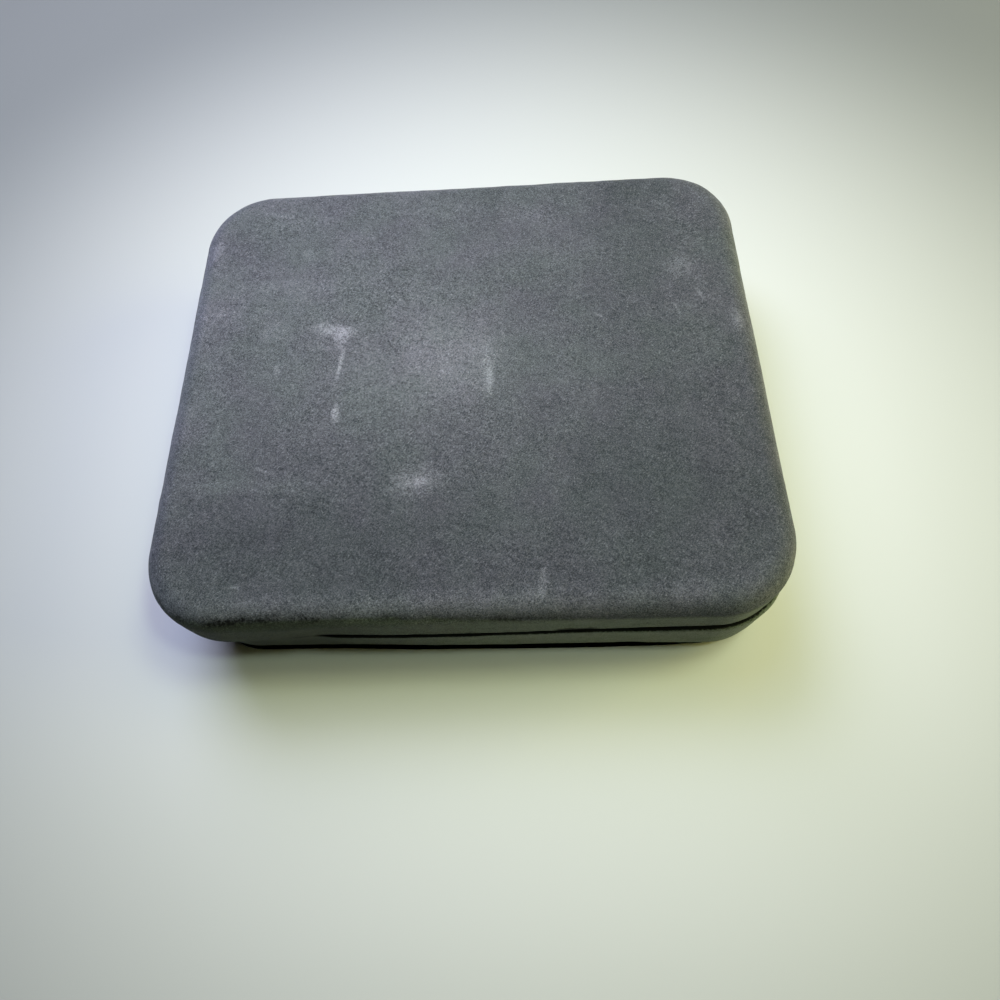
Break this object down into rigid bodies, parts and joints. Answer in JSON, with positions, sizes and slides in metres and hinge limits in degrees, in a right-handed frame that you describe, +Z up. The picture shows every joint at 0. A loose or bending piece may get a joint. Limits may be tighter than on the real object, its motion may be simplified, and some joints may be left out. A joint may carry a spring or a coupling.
{
  "type": "jewellery presentation box",
  "caption": "Low rectangular velvet-covered box with rounded corners and a sprung rear hinge, with a padded insert for a necklace, earrings and a ring.",
  "frame": {"origin": "on the surface that the box stands on, under the middle of the case", "axes": "+X to the right along the width, +Y from the front to the hinge, +Z up"},
  "size_m": [0.19, 0.1683, 0.045],
  "materials": {
    "outer_velvet": "short flocked nap, matt",
    "inner_velvet": "short nap, matt",
    "satin": "satin weave, soft sheen",
    "felt": "pressed felt, matt",
    "elastic": "braided cord",
    "moulded_shell": "as moulded",
    "card": "grey board",
    "plated_steel": "nickel plated",
    "spring_steel": "bright strip"
  },
  "bodies": {
    "base": {"bottom_felt": "felt", "base_velvet": "outer_velvet", "base_shell": "moulded_shell", "base_wall_liner": "inner_velvet", "pad_riser": "card", "pad_board": "card", "display_pad": "inner_velvet", "ring_roll_front": "inner_velvet", "ring_roll_rear": "inner_velvet", "earring_card_left": "inner_velvet", "earring_card_right": "inner_velvet", "chain_loop_left": "elastic", "chain_loop_right": "elastic", "hinge_leaf_base": "plated_steel", "hinge_pin": "plated_steel", "hinge_screw_base_left": "plated_steel", "hinge_screw_base_right": "plated_steel", "hinge_spring_left": "spring_steel", "hinge_spring_right": "spring_steel"},
    "lid": {"lid_velvet": "outer_velvet", "lid_shell": "moulded_shell", "lid_wall_liner": "inner_velvet", "lining_board": "card", "lining_pad": "satin", "hinge_leaf_lid": "plated_steel", "hinge_screw_lid_left": "plated_steel", "hinge_screw_lid_right": "plated_steel"}
  },
  "joints": [
    {"name": "lid_hinge", "type": "hinge", "parent": "base", "child": "lid", "pos_m": [0, 0.0834, 0.02685], "axis": [-1, 0, 0], "range_deg": [0, 100], "deforming": ["hinge_spring_left", "hinge_spring_right"]}
  ]
}
